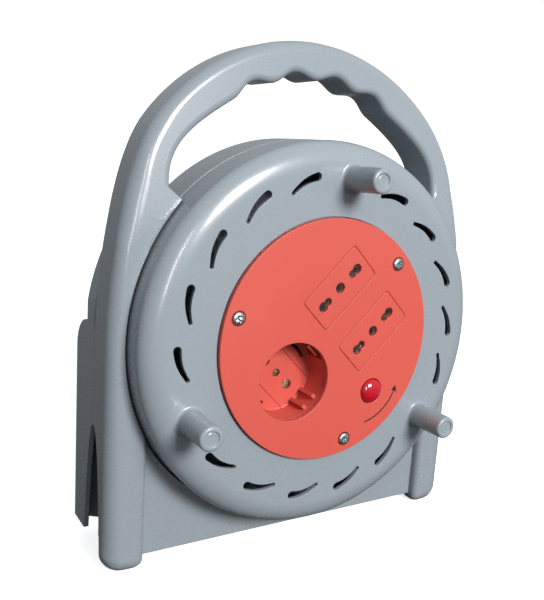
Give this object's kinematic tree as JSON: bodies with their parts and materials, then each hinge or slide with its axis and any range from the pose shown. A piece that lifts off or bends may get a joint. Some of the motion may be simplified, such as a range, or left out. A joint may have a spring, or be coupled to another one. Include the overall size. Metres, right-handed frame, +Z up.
{
  "type": "extension cord reel",
  "caption": "Round cord reel in an upright grey frame with a finger-grip handle; a cranked drum carries a red plate with a round recessed socket, slotted inserts and a reset button.",
  "frame": {"origin": "middle of the bounding box's footprint, on the ground under the feet", "axes": "+Z up along the pillars to the handle, -Y out of the socket side, +X to the right seen from the socket side"},
  "size_m": [0.2114, 0.0882, 0.2567],
  "materials": {
    "grey_plastic": "semi-gloss moulded",
    "red_plastic": "semi-gloss moulded",
    "button_red": "polished",
    "black_plastic": "matt moulded",
    "insulator": "matt moulded",
    "black_rubber": "matt",
    "brass": "stamped",
    "zinc_steel": "bright zinc"
  },
  "bodies": {
    "frame": {"front_shell": "grey_plastic", "rear_shell": "grey_plastic", "axle": "zinc_steel", "axle_bolt": "zinc_steel", "retaining_washer": "zinc_steel", "retaining_screw": "zinc_steel", "shell_screw_1": "zinc_steel", "shell_screw_2": "zinc_steel", "shell_screw_3": "zinc_steel", "shell_screw_4": "zinc_steel"},
    "drum": {"drum_front_flange": "grey_plastic", "drum_spool": "grey_plastic", "socket_plate": "red_plastic", "schuko_well": "red_plastic", "italian_insert_upper": "red_plastic", "italian_insert_lower": "red_plastic", "plate_screw_1": "zinc_steel", "plate_screw_2": "zinc_steel", "plate_screw_3": "zinc_steel", "flange_screw_1": "zinc_steel", "flange_screw_2": "zinc_steel", "flange_screw_3": "zinc_steel", "clamp_screw_1": "zinc_steel", "clamp_screw_2": "zinc_steel", "button_spring": "zinc_steel", "contact_upper_line": "brass", "contact_upper_neutral": "brass", "contact_upper_earth": "brass", "contact_lower_line": "brass", "contact_lower_neutral": "brass", "contact_lower_earth": "brass", "contact_round_line": "brass", "contact_round_neutral": "brass", "contact_round_earth": "brass", "line_busbar": "brass", "neutral_busbar": "brass", "earth_busbar": "brass", "earth_clip_upper": "brass", "earth_clip_lower": "brass", "breaker_body": "black_plastic", "cord_clamp": "black_plastic", "insulating_cover": "insulator", "terminal_block": "insulator", "cord_grommet": "black_rubber"},
    "button": {"reset_button": "button_red"}
  },
  "joints": [
    {"name": "drum_spin", "type": "hinge", "parent": "frame", "child": "drum", "pos_m": [0, 0, 0.1125], "axis": [0, 1, 0], "continuous": true},
    {"name": "reset_press", "type": "slide", "parent": "drum", "child": "button", "axis": [0, 1, 0], "range_m": [0, 0.0025], "stiffness_N_per_m": 400, "springref_m": -0.001, "deforming": ["button_spring"]}
  ]
}
